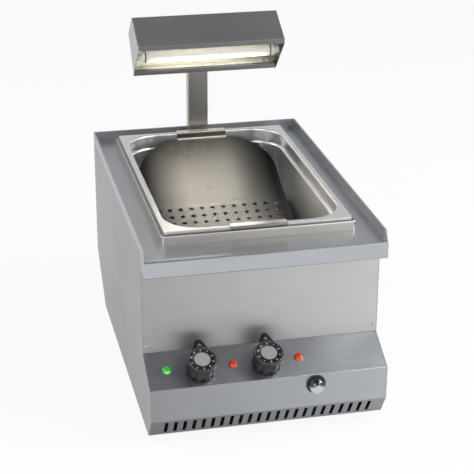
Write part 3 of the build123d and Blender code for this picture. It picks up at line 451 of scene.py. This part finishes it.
# Casing and sheet-metal pieces
dressed("worktop", "top", 0.0009, 3)
for node in ("side_panel_left", "side_panel_right", "base_plate", "back_panel", "heat_shield"):
    dressed(node, "side")
dressed("front_panel", "front")
dressed("control_panel", "slope", 0.0009, 3)
dressed("well_collar", "collar")
dressed("well_tank", "pan")
dressed("gn_pan", "pan")
dressed("scoop_insert", "scoop", 0.00025)
dressed("scoop_hook_back", "hook", 0.00025)
dressed("scoop_hook_front", "hook", 0.00025)
dressed("post", "post")
dressed("post_sleeve", "post")
dressed("hood_shell", "hood")
dressed("hood_end_left", "hood_left")
dressed("hood_end_right", "hood_right")
dressed("hood_bracket", "hood", 0.0005)
dressed("reflector", "mirror", 0.0)
for corner in ("front_left", "front_right", "rear_left", "rear_right"):
    dressed("foot_" + corner, "rubber", 0.0005)
dressed("cable_gland", "nylon", 0.0004)
dressed("gland_locknut", "nylon", 0.0004)
dressed("terminal_block", "ceramic", 0.0004)
painted("front", "drain_pipe", "shaft_left", "shaft_right")
painted("switch", "thermostat", "power_regulator", "limit_thermostat")
painted("dark", "lamp_body_green", "lamp_body_red_left", "lamp_body_red_right")
painted("screw", "foot_screws", "post_bolts")
painted("heater", "heating_element", "element_clamps")

# Knobs, in millimetres: fluted body, dial plate with a nose, bare disc, ticks and numerals
KNOB_TOP = 31.0
DIAL_FOOT = 24.0
DIAL_RADIUS = 25.0
NOSE_RADIUS = 6.0
NOSE_CENTRE = 35.0
SHOULDER = 0.09
BASE_RADIUS = 25.2
BODY_RADIUS = 24.6
FLUTE_DEPTH = 1.9
FLUTES = 10
BORE_RADIUS = 3.1
RECESS_RADIUS = 8.0
DISC_RADIUS = 13.2
KNOB_STEPS = 240
TICKS = 36
TICK_REACH = 23.8
NUMERAL_REACH = 17.8
NUMERAL_SIZE = 4.4
NUMERAL_SWELL = 0.1
NUMERAL_THICKNESS = 0.06
MARK_HEIGHT = KNOB_TOP + 0.03
MARK_THICKNESS = 0.12
TICK_WIDTH = 0.5
LONG_TICK = 2.8
SHORT_TICK = 1.8
NOSE_MARK_WIDTH = 0.8
NOSE_MARKS = ((-2.4, 28.2, 1.6), (0.0, 29.4, 4.2), (2.4, 28.2, 1.6))


def dial_reach(angle):
    """From the dial's middle to its edge, where angle 0 points along the nose."""
    turn = abs((angle + pi) % (2 * pi) - pi)
    lean = acos((DIAL_RADIUS - NOSE_RADIUS) / NOSE_CENTRE)
    nose_turn = atan2(NOSE_RADIUS * sin(lean), NOSE_CENTRE + NOSE_RADIUS * cos(lean))
    if turn >= lean:
        return DIAL_RADIUS
    if turn >= nose_turn:
        hollow = SHOULDER * sin(pi * (turn - nose_turn) / (lean - nose_turn)) ** 2
        return DIAL_RADIUS / cos(lean - turn) * (1 - hollow)
    return NOSE_CENTRE * cos(turn) + sqrt(NOSE_RADIUS**2 - (NOSE_CENTRE * sin(turn)) ** 2)


def body_reach(angle):
    return BODY_RADIUS - FLUTE_DEPTH * (0.5 + 0.5 * cos(FLUTES * angle)) ** 2


def knob_ring(place, reach, less, height):
    ring = []
    for step in range(KNOB_STEPS):
        angle = 2 * pi * step / KNOB_STEPS
        radius = (reach(angle) if callable(reach) else reach) - less
        ring.append(place @ (Vector((radius * sin(angle), radius * cos(angle), height)) * MM))
    return ring


for side, origin in KNOBS.items():
    place = placed(origin, SLOPE_UP, SLOPE_NORMAL)
    levels = [
        (BORE_RADIUS, 0, 17.6), (BORE_RADIUS, 0, 5.6), (RECESS_RADIUS, 0, 5.6),
        (RECESS_RADIUS, 0, 0.6), (BASE_RADIUS, 0.4, 0.6), (BASE_RADIUS, 0, 1.0),
        (BASE_RADIUS, 0, 2.6), (body_reach, 0.1, 3.2), (body_reach, 0, 3.6),
        (body_reach, 0, DIAL_FOOT - 1.0), (body_reach, 0.4, DIAL_FOOT - 0.4),
        (dial_reach, 1.6, DIAL_FOOT), (dial_reach, 0.5, DIAL_FOOT + 0.2),
        (dial_reach, 0, DIAL_FOOT + 0.8), (dial_reach, 0, KNOB_TOP - 1.4),
        (dial_reach, 0.3, KNOB_TOP - 0.7), (dial_reach, 0.8, KNOB_TOP - 0.2),
        (dial_reach, 1.5, KNOB_TOP), (14.2, 0, KNOB_TOP), (13.7, 0, KNOB_TOP - 0.4),
        (13.6, 0, KNOB_TOP - 1.0),
    ]
    knob = skin(
        f"knob_{side}_body",
        [knob_ring(place, reach, less, height) for reach, less, height in levels],
        "black",
        crease=0.9,
    )
    stands_for(knob, f"knob_{side}")
    disc_profile = [
        (DISC_RADIUS, KNOB_TOP - 0.95), (DISC_RADIUS, KNOB_TOP + 0.5),
        (DISC_RADIUS - 0.3, KNOB_TOP + 0.8), (DISC_RADIUS - 1.2, KNOB_TOP + 0.8),
        (DISC_RADIUS - 1.6, KNOB_TOP + 0.45), (0.2, KNOB_TOP + 0.45),
    ]
    stands_for(turned(f"disc_{side}", disc_profile, place, "disc", 96), f"knob_cap_{side}")
    bm = bmesh.new()
    for tick in range(TICKS):
        angle = 2 * pi * (tick + 0.5) / TICKS
        turn = Matrix.Rotation(-angle, 4, "Z")
        length = LONG_TICK if tick % 4 == 1 else SHORT_TICK
        centre = (0, TICK_REACH - length / 2, MARK_HEIGHT)
        slab(bm, place @ turn, centre, (TICK_WIDTH, length, MARK_THICKNESS))
    for across, reach, length in NOSE_MARKS:
        slab(bm, place, (across, reach, MARK_HEIGHT), (NOSE_MARK_WIDTH, length, MARK_THICKNESS))
    for number in range(10):
        text = bpy.data.curves.new("numeral", "FONT")
        text.body = str(number)
        text.size = NUMERAL_SIZE * MM
        text.align_x = "CENTER"
        text.align_y = "CENTER"
        text.offset = NUMERAL_SWELL * MM
        text.extrude = NUMERAL_THICKNESS * MM
        item = bpy.data.objects.new("numeral", text)
        bpy.context.scene.collection.objects.link(item)
        glyph = bpy.data.meshes.new_from_object(item)
        turn = Matrix.Rotation(-2 * pi * number / 10, 4, "Z")
        seat = Matrix.Translation((0, NUMERAL_REACH * MM, MARK_HEIGHT * MM))
        glyph.transform(place @ turn @ seat)
        bm.from_mesh(glyph)
        bpy.data.objects.remove(item)
        bpy.data.curves.remove(text)
        bpy.data.meshes.remove(glyph)
    marks = object_from(f"dial_marks_{side}", bm, "mark", smooth=False)
    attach(marks, nodes[f"knob_{side}"]["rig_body"])

# Indicator lenses: faceted jewels in the slope
LENS_FACETS = 12
LENS_LEVELS = [
    (5.8, -1.5), (5.8, 0.05), (7.8, 0.05), (7.8, 0.9), (7.3, 1.3), (6.9, 3.0), (5.4, 4.7),
    (2.6, 5.4), (0.4, 5.5),
]
for lamp, material in (("green", "green"), ("red_left", "red"), ("red_right", "red")):
    centre = middle("lens_" + lamp)
    foot = KNOBS["right"] + SLOPE_UP * (centre - KNOBS["right"]).dot(SLOPE_UP)
    foot.x = centre.x
    place = placed(foot, SLOPE_UP, SLOPE_NORMAL)
    rings = []
    for level, (radius, height) in enumerate(LENS_LEVELS):
        ring = []
        for step in range(LENS_FACETS):
            angle = 2 * pi * (step + (level % 2) / 2) / LENS_FACETS
            ring.append(place @ (Vector((radius * cos(angle), radius * sin(angle), height)) * MM))
        rings.append(ring)
    lens = skin(f"jewel_{lamp}", rings, material, smooth=False, twist=True)
    stands_for(lens, "lens_" + lamp)

# Drain: rubber ring on the toe and a domed chrome cap
ring_low, ring_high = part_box("drain_ring")
drain = Vector(((ring_low.x + ring_high.x) / 2, ring_high.y, (ring_low.z + ring_high.z) / 2))
drain_place = placed(drain, UPWARD, FORWARD)
RING_RADIUS = (ring_high.x - ring_low.x) / 2 / MM
CAP_BORE = 9.3
ring_profile = [
    (CAP_BORE, 0.02), (RING_RADIUS - 0.4, 0.02), (RING_RADIUS, 0.4), (RING_RADIUS, 1.3),
    (RING_RADIUS - 0.6, 1.95), (CAP_BORE, 1.95),
]
stands_for(turned("drain_washer", ring_profile, drain_place, "rubber", 72), "drain_ring")
cap_low, cap_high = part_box("drain_cap")
CAP_FOOT = 2.3
DOME_RADIUS = 9.0
CAP_RADIUS = (cap_high.x - cap_low.x) / 2 / MM
CAP_TOP = 16.3
DOME_STEPS = 12
cap_profile = [
    (CAP_BORE, CAP_FOOT + 9.0), (CAP_BORE, CAP_FOOT), (CAP_RADIUS - 0.4, CAP_FOOT),
    (CAP_RADIUS, CAP_FOOT + 0.4),
]
for step in range(DOME_STEPS + 1):
    angle = pi / 2 * step / DOME_STEPS
    radius = CAP_RADIUS - DOME_RADIUS * (1 - cos(angle))
    cap_profile.append((radius, CAP_TOP - DOME_RADIUS * (1 - sin(angle))))
cap_profile.append((0.2, CAP_TOP))
stands_for(turned("drain_dome", cap_profile, drain_place, "chrome", 96), "drain_cap")

# Round-headed screws, each with a dark cross of slabs on its head: painted shade standing for its
# recess
HEAD_HEIGHT = 1.6
RECESS_LENGTH = 3.2
RECESS_WIDTH = 0.6
RECESS_DEPTH = 0.4
RECESS_LIFT = 1.45
SCREW_PROFILE = [
    (1.9, -8.0), (1.9, 0.02), (3.6, 0.02), (3.6, 0.5), (3.2, 1.1), (2.2, 1.5), (0.2, 1.62),
]


def screws(node, places):
    bm = bmesh.new()
    recess_shade_slabs = bmesh.new()
    for place in places:
        item = turned("screw", SCREW_PROFILE, place, "screw", 32)
        bm.from_mesh(item.data)
        mesh = item.data
        bpy.data.objects.remove(item)
        bpy.data.meshes.remove(mesh)
        # Painted shade: two dark slabs in a cross, in place of a cut recess
        slab(recess_shade_slabs, place, (0, 0, RECESS_LIFT), (RECESS_LENGTH, RECESS_WIDTH, RECESS_DEPTH))
        slab(recess_shade_slabs, place, (0, 0, RECESS_LIFT), (RECESS_WIDTH, RECESS_LENGTH, RECESS_DEPTH))
    stands_for(object_from(node + "_heads", bm, "screw"), node)
    recess_shade = object_from(node + "_painted_recess_shade", recess_shade_slabs, "dark", smooth=False)
    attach(recess_shade, nodes[node]["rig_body"])


def screw_places(node, up, normal):
    """One place for each solid of a screw node, from the islands of its mesh."""
    bm = bmesh.new()
    bm.from_mesh(nodes[node].data)
    bmesh.ops.remove_doubles(bm, verts=bm.verts, dist=WELD)
    left = set(bm.verts)
    found = []
    while left:
        stack = [left.pop()]
        island = list(stack)
        while stack:
            for edge in stack.pop().link_edges:
                for vert in edge.verts:
                    if vert in left:
                        left.remove(vert)
                        stack.append(vert)
                        island.append(vert)
        low = Vector([min(v.co[k] for v in island) for k in range(3)])
        high = Vector([max(v.co[k] for v in island) for k in range(3)])
        found.append((low + high) / 2)
    bm.free()
    return [placed(p, up, normal) for p in sorted(found, key=lambda p: (p.x, p.z))]


for node, normal in (("front_panel_screws", FORWARD), ("back_panel_screws", -FORWARD)):
    low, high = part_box(node)
    face = low.y + HEAD_HEIGHT * MM if normal is FORWARD else high.y - HEAD_HEIGHT * MM
    places = []
    for place in screw_places(node, UPWARD, normal):
        place.translation.y = face
        places.append(place)
    screws(node, places)

# Infrared tube, its ceramic ends and the dark spring clips that hold it
tube_low, tube_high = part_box("infrared_tube")
axis_place = placed((tube_low + tube_high) / 2, UPWARD, ACROSS)
half_tube = tube_high.x / MM
TUBE_RADIUS = (tube_high.z - tube_low.z) / 2 / MM
tube_profile = [
    (0.2, -half_tube), (TUBE_RADIUS - 0.8, -half_tube), (TUBE_RADIUS, -half_tube + 1.0),
    (TUBE_RADIUS, half_tube - 1.0), (TUBE_RADIUS - 0.8, half_tube), (0.2, half_tube),
]
stands_for(turned("quartz_tube", tube_profile, axis_place, "quartz", 64), "infrared_tube")
for side, sign in (("left", -1), ("right", 1)):
    holder_low, holder_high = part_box("tube_holder_" + side)
    near, far = sorted((abs(holder_low.x), abs(holder_high.x)))
    near, far = near / MM, far / MM
    levels = [
        (0.2, near + 0.05), (9.6, near + 0.05), (10.0, near + 0.4), (10.0, near + 6.0),
        (7.6, near + 7.0), (6.4, far), (0.2, far),
    ]
    profile = [(radius, sign * reach) for radius, reach in levels]
    end = turned("ceramic_end_" + side, profile, axis_place, "ceramic", 48)
    stands_for(end, "tube_holder_" + side)
    levels = [(10.6, near - 2.6), (11.8, near - 2.6), (11.8, near - 0.8), (10.6, near - 0.8)]
    profile = [(radius, sign * reach) for radius, reach in levels]
    clip = turned("tube_clip_" + side, profile, axis_place, "dark", 48)
    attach(clip, "casing")


# Floor: lit by the lamps, shown pale to the camera and brighter to the right in the metal
bm = bmesh.new()
bmesh.ops.create_grid(bm, x_segments=1, y_segments=1, size=6.0)
MATERIALS["floor"], tree, shader = tree_of("floor")
shader.inputs["Base Color"].default_value = (0.85, 0.85, 0.85, 1)
shader.inputs["Roughness"].default_value = 0.9
shader.inputs["Specular IOR Level"].default_value = 0.0
FLOOR_WHITE = 0.90
FLOOR_SHEEN = (0.55, 0.94)
SHEEN_ACROSS = (-0.10, 0.44)


def seen_directly(tree):
    """How white the floor is to a ray: even to the camera, brighter to the right in the metal."""
    path = tree.nodes.new("ShaderNodeLightPath")
    glossy = maths(
        tree, "MAXIMUM", path.outputs["Is Glossy Ray"], path.outputs["Is Transmission Ray"]
    )
    sheen = span(tree, split(tree, coords(tree))[0], *FLOOR_SHEEN, *SHEEN_ACROSS)
    seen = maths(tree, "MULTIPLY", path.outputs["Is Camera Ray"], FLOOR_WHITE)
    return maths(tree, "MAXIMUM", seen, maths(tree, "MULTIPLY", glossy, sheen))


glow = tree.nodes.new("ShaderNodeEmission")
glow.inputs["Color"].default_value = (1, 1, 1, 1)
glow.inputs["Strength"].default_value = 1.0
mix = tree.nodes.new("ShaderNodeMixShader")
tree.links.new(seen_directly(tree), mix.inputs[0])
tree.links.new(shader.outputs[0], mix.inputs[1])
tree.links.new(glow.outputs[0], mix.inputs[2])
output = next(node for node in tree.nodes if node.type == "OUTPUT_MATERIAL")
tree.links.new(mix.outputs[0], output.inputs["Surface"])
object_from("floor", bm, "floor", smooth=False)

# Studio: a white backdrop round the horizon under a darker ceiling
HORIZON_LIGHT = 0.85
CEILING_LIGHT = 0.27
FRONT_SHARE = 0.5
CEILING_RISE = (0.40, 0.80)
FRONT_TO_BACK = (-0.5, 0.2)
world = bpy.data.worlds.new("studio")
bpy.context.scene.world = world
world.use_nodes = True
tree = world.node_tree
tree.nodes.clear()
out = tree.nodes.new("ShaderNodeOutputWorld")
studio = tree.nodes.new("ShaderNodeBackground")
white = tree.nodes.new("ShaderNodeBackground")
mix = tree.nodes.new("ShaderNodeMixShader")
path = tree.nodes.new("ShaderNodeLightPath")
direction = tree.nodes.new("ShaderNodeTexCoord")
height = split(tree, direction.outputs["Generated"])[2]
studio.inputs["Color"].default_value = (0.985, 0.99, 1.0, 1)
rise = span(tree, height, HORIZON_LIGHT, CEILING_LIGHT, *CEILING_RISE)
depth = split(tree, direction.outputs["Generated"])[1]
behind = span(tree, depth, FRONT_SHARE, 1.0, *FRONT_TO_BACK)
tree.links.new(maths(tree, "MULTIPLY", rise, behind), studio.inputs["Strength"])
white.inputs["Color"].default_value = (1, 1, 1, 1)
white.inputs["Strength"].default_value = 1.0
tree.links.new(path.outputs["Is Camera Ray"], mix.inputs[0])
tree.links.new(studio.outputs[0], mix.inputs[1])
tree.links.new(white.outputs[0], mix.inputs[2])
tree.links.new(mix.outputs[0], out.inputs["Surface"])


def area(name, place, target, size, power):
    data = bpy.data.lights.new(name, "AREA")
    data.shape = "RECTANGLE"
    data.size = size[0]
    data.size_y = size[1]
    data.energy = power
    item = bpy.data.objects.new(name, data)
    bpy.context.scene.collection.objects.link(item)
    item.location = place
    direction = Vector(target) - Vector(place)
    item.rotation_euler = direction.to_track_quat("-Z", "Y").to_euler()
    return item


# The heat lamp's own light: two small warm lamps, one on the scoop and one on the reflector
TUBE_AHEAD = 0.012
LAMP_TINT = (1.0, 0.95, 0.88)
SCOOP_MIDDLE = (0, 0.02, 0.25)
tube_place = (0, (tube_low.y + tube_high.y) / 2 - TUBE_AHEAD, tube_low.z - TUBE_AHEAD)
reflector_place = (0, tube_high.y + 0.01, tube_high.z + 0.02)
for name, target, size, power in (
    ("tube light", SCOOP_MIDDLE, (0.20, 0.02), 0.085),
    ("reflector light", reflector_place, (0.20, 0.012), 0.16),
):
    lamp = area(name, tube_place, target, size, power)
    lamp.visible_camera = False
    lamp.data.color = LAMP_TINT

# Studio lamps: name, place, size and power
CASING_MIDDLE = (0, 0, 0.2)
for name, place, size, power in (
    ("key", (2.0, -0.9, 2.1), (1.5, 1.5), 62),
    ("window", (-1.5, -2.6, 1.2), (0.9, 1.6), 22),
    ("doorway", (1.3, -2.6, 1.2), (0.9, 1.6), 10),
    ("fill", (-2.4, 0.6, 1.7), (1.8, 1.4), 22),
):
    area(name, place, CASING_MIDDLE, size, power)

# Camera at the photograph's viewing angle
YAW = 0.22348
PITCH = 0.39961
ROLL = 0.00384
FOCAL = 1456.8721
FRAME_SIDE = 474.0
SENSOR = 36.0
CAMERA_X = -0.520398
CAMERA_BEFORE_APRON = 2.060986
CAMERA_Z = 1.244301
ahead = Vector((sin(YAW) * cos(PITCH), cos(YAW) * cos(PITCH), -sin(PITCH)))
level = Vector((cos(YAW), -sin(YAW), 0))
upright = level.cross(ahead)
right = level * cos(ROLL) + upright * sin(ROLL)
up = upright * cos(ROLL) - level * sin(ROLL)
camera_data = bpy.data.cameras.new("camera")
camera_data.sensor_width = SENSOR
camera_data.lens = SENSOR * FOCAL / FRAME_SIDE
camera_data.clip_end = 30
camera = bpy.data.objects.new("camera", camera_data)
bpy.context.scene.collection.objects.link(camera)
matrix = Matrix((right, up, -ahead)).transposed().to_4x4()
matrix.translation = Vector((CAMERA_X, APRON_Y - CAMERA_BEFORE_APRON, CAMERA_Z))
camera.matrix_world = matrix
bpy.context.scene.camera = camera

bpy.context.scene.view_settings.view_transform = "Standard"
